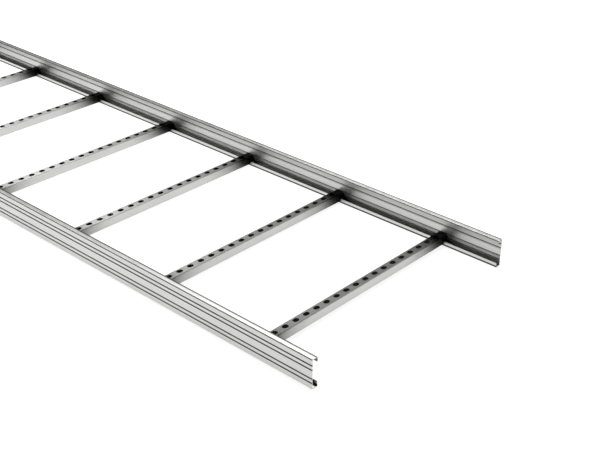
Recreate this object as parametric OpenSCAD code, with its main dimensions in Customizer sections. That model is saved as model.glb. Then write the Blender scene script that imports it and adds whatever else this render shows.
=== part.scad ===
// Cable ladder section: two roll-formed side rails joined by slotted channel rungs.
// Millimetres. X runs along the ladder, Y across it and Z up.
// The origin is at the middle of the ladder's underside.

/* [Ladder] */
// Length of the two side rails
ladder_length = 3000; // [1500:100:6000]
// Width over the outer faces of the two rails
ladder_width = 600; // [200:50:900]
// Distance between the centres of neighbouring rungs
rung_pitch = 300; // [150:10:400]
// Least distance from a rail's end to the centre of the first rung
end_distance = 150; // [40:10:200]

/* [Side rails] */
// Height of a side rail
rail_height = 65; // [60:1:120]
// Width of a rail's flanges
rail_flange = 15; // [12:1:30]
// Height of the lips that turn back from the flanges
rail_lip = 11; // [6:0.5:14]
// Thickness of the rail's sheet
rail_sheet = 1.5; // [1:0.1:2]
// Inside radius of the rail's bends
rail_bend = 1.2; // [0.5:0.1:2]

/* [Grooves] */
// Distance from the rail's mid-height to the middle of each inner groove
groove_inner = 9.5; // [6:0.5:12]
// Distance from the rail's mid-height to the middle of each outer groove
groove_outer = 19; // [18:0.5:22]
// How far a groove is pressed into the rail
groove_depth = 1.2; // [0.9:0.1:2]
// Slope of a groove's sides against the web, in degrees
groove_slope = 40; // [30:1:45]
// Flat that the bends leave at the crest of a groove
groove_flat = 0.2; // [0.1:0.1:1]
// Inside radius of the bends along a groove
groove_bend = 0.2; // [0.1:0.1:0.4]

/* [Rungs] */
// Width of a rung
rung_width = 22; // [18:1:40]
// Height of a rung
rung_height = 22; // [18:1:26]
// Thickness of the rung's sheet
rung_sheet = 1.5; // [1:0.1:2]
// Inside radius of the rung's bends
rung_bend = 1; // [0.5:0.1:2]
// Width of the mouth between the lips on the rung's underside
rung_mouth = 11; // [8:0.5:12]
// Clearance round a rail's lip in the notch that lets a rung's end pass it
lip_clearance = 0.5; // [0.2:0.1:1]

/* [Slots] */
// Distance between the centres of neighbouring slots
slot_pitch = 30; // [26:1:60]
// Length of a slot, end to end
slot_length = 15; // [12:0.5:22]
// Width of a slot
slot_width = 11; // [5:0.5:12]
// Least distance from the end of a rung to the centre of its last slot
slot_margin = 25; // [24:1:60]

/* [Hidden] */
// Rungs that fit between the end distances
rung_count = floor((ladder_length - 2 * end_distance) / rung_pitch) + 1;
// A rung's ends stop at the crests of the grooves, and never reach the bend below them
rung_inset = rail_sheet + max(groove_depth, rail_bend);
rung_length = ladder_width - 2 * rung_inset;
// Slots on each side of the rung's middle one
slots_each_side = floor((rung_length / 2 - slot_margin) / slot_pitch);
// Notch at each end of a rung, over the rail's lip and the bend at its foot
notch_start = rail_flange + lip_clearance - rung_inset;
notch_width = rail_sheet + rail_bend + 2 * lip_clearance;
notch_height = rail_lip - rail_sheet + lip_clearance;
// How far a cutter runs past the face it opens
overrun = 1;
// Largest turn between neighbouring points of a bend
turn_step = 15;

function unit(v) = v / norm(v);
function left_of(v) = [-v[1], v[0]];
function reversed(list) = [for (i = [len(list) - 1:-1:0]) list[i]];

// Bend of a sheet at corner b, on its way from a to c, drawn at an offset from its middle line
function bend_points(a, b, c, radius, offset) =
    let (
        heading = unit(b - a),
        next_heading = unit(c - b),
        turn = atan2(cross(heading, next_heading), heading * next_heading),
        side = sign(turn),
        centre = b - heading * radius * tan(abs(turn) / 2) + left_of(heading) * side * radius,
        spoke = -left_of(heading) * side,
        start = atan2(spoke[1], spoke[0]),
        reach = radius - side * offset,
        steps = ceil(abs(turn) / turn_step)
    )
    [for (i = [0:steps])
        let (angle = start + turn * i / steps)
        centre + reach * [cos(angle), sin(angle)]];

// One face of a bent sheet, from its first edge to its last
function sheet_face(corners, radii, offset) =
    let (
        last = len(corners) - 1,
        first_heading = unit(corners[1] - corners[0]),
        last_heading = unit(corners[last] - corners[last - 1])
    )
    concat(
        [corners[0] + offset * left_of(first_heading)],
        [for (i = [1:last - 1])
            each bend_points(corners[i - 1], corners[i], corners[i + 1], radii[i - 1], offset)],
        [corners[last] + offset * left_of(last_heading)]
    );

// Cross-section of a sheet bent along its middle line
module bent_sheet(corners, radii, sheet) {
    polygon(concat(
        sheet_face(corners, radii, sheet / 2),
        reversed(sheet_face(corners, radii, -sheet / 2))
    ));
}

// Middle line of a groove, going up, on a web whose middle line is at the given y
function groove_corners(web, middle) =
    let (
        crest = groove_flat / 2 + (groove_bend + rail_sheet / 2) * tan(groove_slope / 2),
        foot = crest + groove_depth / tan(groove_slope)
    )
    [
        [web, middle - foot],
        [web + groove_depth, middle - crest],
        [web + groove_depth, middle + crest],
        [web, middle + foot]
    ];

// Lipped channel with four grooves in its web, whose outer face is at y = 0
module rail_section() {
    half = rail_sheet / 2;
    far = rail_flange - half;
    grooves = [for (offset = [-groove_outer, -groove_inner, groove_inner, groove_outer])
        each groove_corners(half, rail_height / 2 + offset)];
    corners = concat(
        [[far, rail_lip], [far, half], [half, half]],
        grooves,
        [[half, rail_height - half], [far, rail_height - half], [far, rail_height - rail_lip]]
    );
    fold = rail_bend + half;
    press = groove_bend + half;
    radii = concat([fold, fold], [for (corner = grooves) press], [fold, fold]);
    bent_sheet(corners, radii, rail_sheet);
}

// Lipped channel with its mouth on the underside
module rung_section() {
    half = rung_sheet / 2;
    side = rung_width / 2 - half;
    fold = rung_bend + half;
    corners = [
        [rung_mouth / 2, half],
        [side, half],
        [side, rung_height - half],
        [-side, rung_height - half],
        [-side, half],
        [-rung_mouth / 2, half]
    ];
    bent_sheet(corners, [fold, fold, fold, fold], rung_sheet);
}

// Cutter for one round-ended slot through the rung's top
module slot_cutter() {
    depth = rung_sheet + 2 * overrun;
    shift = (slot_length - slot_width) / 2;
    translate([0, 0, rung_height - rung_sheet - overrun]) {
        for (side = [-1, 1])
            translate([0, side * shift, 0])
                cylinder(h = depth, d = slot_width, $fn = 48);
        translate([-slot_width / 2, -shift, 0])
            cube([slot_width, 2 * shift, depth]);
    }
}

// Cutter for the notch at the rung's end on the side of +y
module notch_cutter() {
    translate([-rung_width / 2 - overrun, rung_length / 2 - notch_start, -overrun])
        cube([rung_width + 2 * overrun, notch_width, notch_height + overrun]);
}

module rail_left() {
    color([0.74, 0.75, 0.75])
        translate([-ladder_length / 2, -ladder_width / 2, 0])
            rotate([90, 0, 90])
                linear_extrude(ladder_length)
                    rail_section();
}

module rail_right() {
    mirror([0, 1, 0])
        rail_left();
}

// Rung number i, counted along +X, standing on the rails' lower flanges
module rung(i) {
    color([0.66, 0.67, 0.68])
        translate([(i - (rung_count + 1) / 2) * rung_pitch, 0, rail_sheet])
            difference() {
                translate([0, rung_length / 2, 0])
                    rotate([90, 0, 0])
                        linear_extrude(rung_length)
                            rung_section();
                for (n = [-slots_each_side:slots_each_side])
                    translate([0, n * slot_pitch, 0])
                        slot_cutter();
                for (end = [0, 1])
                    mirror([0, end, 0])
                        notch_cutter();
            }
}

rail_left();
rail_right();
for (i = [1:rung_count])
    rung(i);
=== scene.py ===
"""Looks of the cable ladder section: zinc-coated sheet steel on a white studio floor.

Metres, in the CAD frame: X along the rails, Y across the ladder, Z up, the floor at Z = 0.
"""

import math

import bpy
from mathutils import Matrix, Vector


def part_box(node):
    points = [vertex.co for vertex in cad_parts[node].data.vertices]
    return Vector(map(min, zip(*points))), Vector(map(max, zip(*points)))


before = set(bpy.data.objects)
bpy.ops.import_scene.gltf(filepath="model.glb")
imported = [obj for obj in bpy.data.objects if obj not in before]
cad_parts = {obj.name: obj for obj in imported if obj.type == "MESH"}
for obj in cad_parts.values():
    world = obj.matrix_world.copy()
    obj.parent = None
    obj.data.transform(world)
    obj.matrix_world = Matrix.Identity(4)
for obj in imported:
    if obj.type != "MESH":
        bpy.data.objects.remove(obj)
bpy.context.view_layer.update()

RAILS = ["rail_left", "rail_right"]
RUNGS = sorted(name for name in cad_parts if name.startswith("rung_"))

# Camera: its place, and in degrees its heading from +X, its dip below level and its roll
CAMERA_PLACE = (2.5683, -1.5058, 1.2117)
CAMERA_HEADING = 132.366
CAMERA_DIP = 28.545
CAMERA_ROLL = -0.404
# Focal length and sensor width in millimetres, and how far the camera sees
CAMERA_LENS = 66.84
SENSOR_WIDTH = 36.0
CAMERA_SIGHT = 200.0

# Colour and roughness of the coating
RAIL_TINT = (0.70, 0.70, 0.685)
RAIL_ROUGHNESS = 0.38
RUNG_TINT = (0.72, 0.72, 0.71)
RUNG_ROUGHNESS = 0.45
# How far the rolling spreads the highlights, and the turn that spreads them across its direction
GRAIN_STRENGTH = 0.8
QUARTER_TURN = 0.25
# Rolling directions, turned a little so that no face looks straight along them
ALONG_RAILS = (1.0, 0.02, 0.01)
ALONG_RUNGS = (0.02, 1.0, 0.01)

# Rolled streaks and broader swathes: noise scale along and across the rolling direction
STREAK_SCALES = (1.5, 420.0)
SWATHE_SCALES = (0.6, 60.0)
STREAK_DETAIL = 3.0
SWATHE_DETAIL = 2.0
# Spangle and grime: noise scale, the same in all directions
SPANGLE_SCALE = 110.0
GRIME_SCALE = 7.0
GRIME_DETAIL = 4.0
# How rough the noise of streaks and of grime is
NOISE_ROUGHNESS = 0.6
# Part of each noise's range that shows, and the shades that it is spread over
STREAK_RANGE = (0.3, 0.7)
STREAK_SHADES = (-0.05, 0.05)
SWATHE_RANGE = (0.35, 0.65)
SWATHE_SHADES = (0.97, 1.02)
SPANGLE_SHADES = (0.97, 1.02)
GRIME_RANGE = (0.3, 0.6)
GRIME_SHADES = (0.96, 1.01)
# What streaks and spangle add to the roughness
STREAK_ROUGHNESS = (-0.04, 0.04)
SPANGLE_ROUGHNESS = (-0.02, 0.02)
# Bumps: strength, height, and the grime's share of a streak's height
BUMP_STRENGTH = 0.08
BUMP_HEIGHT = 0.0004
GRIME_RELIEF = 0.3

# Shade in crevices: how far off other faces count, and the shares of open sky at which it is full and gone
CORNER_REACH = 0.15
RAIL_CORNER_SHADE = (0.18, 0.28)
RUNG_CORNER_SHADE = (0.8, 0.98)
GROOVE_REACH = 0.004
GROOVE_SHADE = (0.5, 0.97)
# Share of the colour that full shade leaves, and the number of rays that look for open sky
FULL_SHADE = 0.02
SHADE_RAYS = 16
# Painted shade where the sheet is bent, which darkens the coating's colour: largest part of the normal along
# an axis, bent and flat
BEND_NORMALS = (0.85, 0.995)
RAIL_BEND_SHADE = 0.04
RUNG_BEND_SHADE = 0.9

# Painted shade in a band by a flange's +Y edge: distances at which it starts to fade and is gone, and the
# colour it leaves
RIM_WIDTH = (0.0038, 0.0062)
RIM_SHADE = 0.12
# The same painted shade for the band at the foot of a lower lip, as heights over the floor
FOOT_HEIGHT = (0.0042, 0.006)
FOOT_SHADE = 0.06
# Painted shade over the upper lips as a whole: shares of the rail's height over which that comes in
LIP_SHARES = (0.5, 0.8)
LIP_SHADE = 0.72
# The lips lie within this distance of the rail's inner edge
LIP_DEPTH = 0.003
# Upward part of the normal at which a face stops being a side and counts as a flange
FLANGE_NORMALS = (0.6, 0.8)

# Floor: half its width, its grey, and the glow that makes it white in the picture and in the metal
FLOOR_REACH = 40.0
FLOOR_GREY = (0.5, 0.5, 0.5, 1)
FLOOR_GLOW = 0.8
# Strength of the white light from all round
STUDIO_LIGHT = 0.2


def make_camera():
    """The camera at the photograph's viewing angle."""
    heading, dip, roll = (math.radians(a) for a in (CAMERA_HEADING, CAMERA_DIP, CAMERA_ROLL))
    forward = Vector((math.cos(heading) * math.cos(dip), math.sin(heading) * math.cos(dip), -math.sin(dip)))
    level = Vector((math.sin(heading), -math.cos(heading), 0))
    down = forward.cross(level)
    right = level * math.cos(roll) + down * math.sin(roll)
    down = down * math.cos(roll) - level * math.sin(roll)
    data = bpy.data.cameras.new("camera")
    data.lens = CAMERA_LENS
    data.sensor_width = SENSOR_WIDTH
    data.clip_end = CAMERA_SIGHT
    camera = bpy.data.objects.new("camera", data)
    turn = Matrix((right, -down, -forward)).transposed().to_4x4()
    camera.matrix_world = Matrix.Translation(CAMERA_PLACE) @ turn
    bpy.context.scene.collection.objects.link(camera)
    bpy.context.scene.camera = camera


class Nodes:
    """Short calls for building one node tree."""

    def __init__(self, tree):
        self.tree = tree
        self.tree.nodes.clear()

    def add(self, kind, **settings):
        node = self.tree.nodes.new(kind)
        for name, value in settings.items():
            setattr(node, name, value)
        return node

    def link(self, source, target):
        self.tree.links.new(source, target)

    def value(self, socket, value):
        """Sets a socket to a number, or links it to another socket."""
        if isinstance(value, bpy.types.NodeSocket):
            self.link(value, socket)
        else:
            socket.default_value = value

    def math(self, operation, first, second=0.0):
        node = self.add("ShaderNodeMath", operation=operation)
        self.value(node.inputs[0], first)
        self.value(node.inputs[1], second)
        return node.outputs[0]

    def product(self, first, *others):
        for other in others:
            first = self.math("MULTIPLY", first, other)
        return first

    def spread(self, source, low, high, from_low=0.0, from_high=1.0):
        """Spreads the range from_low to from_high over low to high, and holds both ends."""
        node = self.add("ShaderNodeMapRange", clamp=True)
        self.value(node.inputs["Value"], source)
        self.value(node.inputs["From Min"], from_low)
        self.value(node.inputs["From Max"], from_high)
        self.value(node.inputs["To Min"], low)
        self.value(node.inputs["To Max"], high)
        return node.outputs["Result"]

    def parts(self, vector):
        """The X, Y and Z of a vector."""
        node = self.add("ShaderNodeSeparateXYZ")
        self.link(vector, node.inputs[0])
        return node.outputs

    def place(self):
        return self.add("ShaderNodeTexCoord").outputs["Object"]

    def facing(self):
        """The X, Y and Z of the normal, along the object's own axes."""
        return self.parts(self.add("ShaderNodeTexCoord").outputs["Normal"])

    def stretch(self, vector, scale):
        node = self.add("ShaderNodeMapping")
        self.link(vector, node.inputs["Vector"])
        node.inputs["Scale"].default_value = scale
        return node.outputs["Vector"]

    def noise(self, vector, scale, detail, roughness=0.5):
        node = self.add("ShaderNodeTexNoise")
        self.link(vector, node.inputs["Vector"])
        node.inputs["Scale"].default_value = scale
        node.inputs["Detail"].default_value = detail
        node.inputs["Roughness"].default_value = roughness
        return node.outputs["Fac"]

    def cells(self, vector, scale):
        """One random number for each cell."""
        node = self.add("ShaderNodeTexVoronoi")
        self.link(vector, node.inputs["Vector"])
        node.inputs["Scale"].default_value = scale
        split = self.add("ShaderNodeSeparateColor")
        self.link(node.outputs["Color"], split.inputs[0])
        return split.outputs[0]

    def crevice(self, reach, sky):
        """1 in the open, falling to FULL_SHADE where faces within reach hide the sky."""
        node = self.add("ShaderNodeAmbientOcclusion", samples=SHADE_RAYS)
        node.inputs["Distance"].default_value = reach
        return self.spread(node.outputs["AO"], FULL_SHADE, 1.0, *sky)

    def bend(self, darkness):
        """Painted shade: 1 on the flats, falling to the darkness given where the sheet is bent and its
        normal leaves the axes.
        """
        x, y, z = (self.math("ABSOLUTE", part) for part in self.facing())
        squareness = self.math("MAXIMUM", self.math("MAXIMUM", x, y), z)
        return self.spread(squareness, darkness, 1.0, *BEND_NORMALS)


def grain_scale(grain, scales):
    """Noise scale on each axis: the first of the two along the rolling direction, the second across it."""
    along, across = scales
    return [along if part == 1 else across for part in grain]


def zinc_sheet(name, tint, roughness, grain, corner_shade, bend_shade, painted_shade=None):
    """Zinc-coated strip, rolled along one axis: fine streaks, faint spangle, and painted shade in its
    crevices and on its bends.
    """
    material = bpy.data.materials.new(name)
    material.use_nodes = True
    n = Nodes(material.node_tree)
    place = n.place()
    fine = n.stretch(place, grain_scale(grain, STREAK_SCALES))
    broad = n.stretch(place, grain_scale(grain, SWATHE_SCALES))
    streaks = n.noise(fine, 1.0, STREAK_DETAIL, NOISE_ROUGHNESS)
    swathes = n.noise(broad, 1.0, SWATHE_DETAIL)
    spangle = n.cells(place, SPANGLE_SCALE)
    grime = n.noise(place, GRIME_SCALE, GRIME_DETAIL, NOISE_ROUGHNESS)

    shade = n.product(
        n.math("ADD", n.spread(streaks, *STREAK_SHADES, *STREAK_RANGE), 1.0),
        n.spread(spangle, *SPANGLE_SHADES),
        n.spread(swathes, *SWATHE_SHADES, *SWATHE_RANGE),
        n.spread(grime, *GRIME_SHADES, *GRIME_RANGE),
        n.crevice(CORNER_REACH, corner_shade),
        n.crevice(GROOVE_REACH, GROOVE_SHADE),
        # Painted shade on the bends
        n.bend(bend_shade),
    )
    # Painted shade in bands, where a function for it is given
    if painted_shade:
        shade = n.product(shade, painted_shade(n))
    colour = n.add("ShaderNodeVectorMath", operation="SCALE")
    colour.inputs[0].default_value = tint
    n.link(shade, colour.inputs["Scale"])

    gloss = n.math("ADD", n.spread(streaks, *STREAK_ROUGHNESS, *STREAK_RANGE), roughness)
    gloss = n.math("ADD", gloss, n.spread(spangle, *SPANGLE_ROUGHNESS))

    relief = n.add("ShaderNodeBump")
    relief.inputs["Strength"].default_value = BUMP_STRENGTH
    relief.inputs["Distance"].default_value = BUMP_HEIGHT
    n.link(n.math("ADD", streaks, n.product(grime, GRIME_RELIEF)), relief.inputs["Height"])

    direction = n.add("ShaderNodeCombineXYZ")
    for axis, part in enumerate(grain):
        direction.inputs[axis].default_value = part

    shader = n.add("ShaderNodeBsdfPrincipled")
    shader.inputs["Metallic"].default_value = 1.0
    shader.inputs["Anisotropic"].default_value = GRAIN_STRENGTH
    shader.inputs["Anisotropic Rotation"].default_value = QUARTER_TURN
    n.link(direction.outputs[0], shader.inputs["Tangent"])
    n.link(colour.outputs[0], shader.inputs["Base Color"])
    n.link(gloss, shader.inputs["Roughness"])
    n.link(relief.outputs[0], shader.inputs["Normal"])
    out = n.add("ShaderNodeOutputMaterial")
    n.link(shader.outputs[0], out.inputs["Surface"])
    return material


def rail_painted_shade(n):
    """Painted shade in bands on the rails, as in the photograph: by the flanges' +Y edges, on the upper lips
    and at the feet of the lower lips."""
    low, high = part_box("rail_right")
    inner, outer, top = low[1], high[1], high[2]
    spot = n.parts(n.place())
    sideways = n.math("SUBTRACT", 1.0, n.spread(n.facing()["Z"], 0.0, 1.0, *FLANGE_NORMALS))

    # The +Y edge of a flange is the outer one on the right rail and the inner one on the left rail
    on_right = n.math("GREATER_THAN", spot["Y"], 0.0)
    edge = n.math("ADD", n.product(on_right, outer + inner), -inner)
    # Painted shade by each flange's +Y edge, kept off the side faces
    rim = n.spread(n.math("SUBTRACT", edge, spot["Y"]), RIM_SHADE, 1.0, *RIM_WIDTH)
    rim = n.math("MAXIMUM", rim, sideways)

    # Painted shade over the upper lips and at the feet of the lower lips, only on side faces by the inner
    # edge
    by_inner_edge = n.math("LESS_THAN", n.math("ABSOLUTE", spot["Y"]), inner + LIP_DEPTH)
    elsewhere = n.math("SUBTRACT", 1.0, n.product(by_inner_edge, sideways))
    upper = n.spread(spot["Z"], 1.0, LIP_SHADE, *(top * share for share in LIP_SHARES))
    foot = n.spread(spot["Z"], FOOT_SHADE, 1.0, *FOOT_HEIGHT)
    lip = n.math("MAXIMUM", n.product(upper, foot), elsewhere)
    return n.product(rim, lip)


def dress(names, material):
    for name in names:
        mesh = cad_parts[name].data
        mesh.materials.clear()
        mesh.materials.append(material)


def make_floor():
    """A white floor that keeps the ladder's shadow, and stays white in reflections."""
    mesh = bpy.data.meshes.new("floor")
    corners = [(x * FLOOR_REACH, y * FLOOR_REACH, 0) for x, y in ((-1, -1), (1, -1), (1, 1), (-1, 1))]
    mesh.from_pydata(corners, [], [(0, 1, 2, 3)])
    floor = bpy.data.objects.new("floor", mesh)
    bpy.context.scene.collection.objects.link(floor)
    material = bpy.data.materials.new("white_floor")
    material.use_nodes = True
    n = Nodes(material.node_tree)
    lit = n.add("ShaderNodeBsdfDiffuse")
    lit.inputs["Color"].default_value = FLOOR_GREY
    glow = n.add("ShaderNodeEmission")
    rays = n.add("ShaderNodeLightPath").outputs
    seen = n.math("MAXIMUM", rays["Is Camera Ray"], rays["Is Glossy Ray"])
    seen = n.math("MAXIMUM", seen, rays["Is Transmission Ray"])
    n.link(n.product(seen, FLOOR_GLOW), glow.inputs["Strength"])
    both = n.add("ShaderNodeAddShader")
    n.link(lit.outputs[0], both.inputs[0])
    n.link(glow.outputs[0], both.inputs[1])
    out = n.add("ShaderNodeOutputMaterial")
    n.link(both.outputs[0], out.inputs["Surface"])
    mesh.materials.append(material)
    # The crevices' shade leaves the floor out, so that only the metal's own faces darken them
    floor.visible_shadow = False


def make_world(level):
    """Even white light from all round."""
    world = bpy.data.worlds.new("studio")
    world.use_nodes = True
    n = Nodes(world.node_tree)
    sky = n.add("ShaderNodeBackground")
    sky.inputs["Color"].default_value = (1, 1, 1, 1)
    sky.inputs["Strength"].default_value = level
    out = n.add("ShaderNodeOutputWorld")
    n.link(sky.outputs[0], out.inputs["Surface"])
    bpy.context.scene.world = world


def make_softbox(name, place, target, size, power):
    """A rectangular lamp, with its size in metres and its power in watts."""
    data = bpy.data.lights.new(name, "AREA")
    data.shape = "RECTANGLE"
    data.size, data.size_y = size
    data.energy = power
    lamp = bpy.data.objects.new(name, data)
    aim = Vector(target) - Vector(place)
    lamp.matrix_world = Matrix.Translation(place) @ aim.to_track_quat("-Z", "Y").to_matrix().to_4x4()
    bpy.context.scene.collection.objects.link(lamp)


rail_zinc = zinc_sheet(
    "rail_zinc", RAIL_TINT, RAIL_ROUGHNESS, ALONG_RAILS, RAIL_CORNER_SHADE, RAIL_BEND_SHADE, rail_painted_shade
)
rung_zinc = zinc_sheet(
    "rung_zinc", RUNG_TINT, RUNG_ROUGHNESS, ALONG_RUNGS, RUNG_CORNER_SHADE, RUNG_BEND_SHADE
)

make_camera()
dress(RAILS, rail_zinc)
dress(RUNGS, rung_zinc)
make_floor()
make_world(STUDIO_LIGHT)
make_softbox("top_light", place=(0.0, 0.4, 2.4), target=(0.0, 0.3, 0.0), size=(2.0, 1.7), power=52)
make_softbox("left_light", place=(-2.2, -0.5, 2.4), target=(-2.2, -0.5, 0.0), size=(2.4, 1.3), power=42)
make_softbox("side_light", place=(3.2, 3.4, 1.0), target=(0.8, 0.0, 0.0), size=(1.6, 1.2), power=10)

bpy.context.scene.view_settings.view_transform = "Standard"
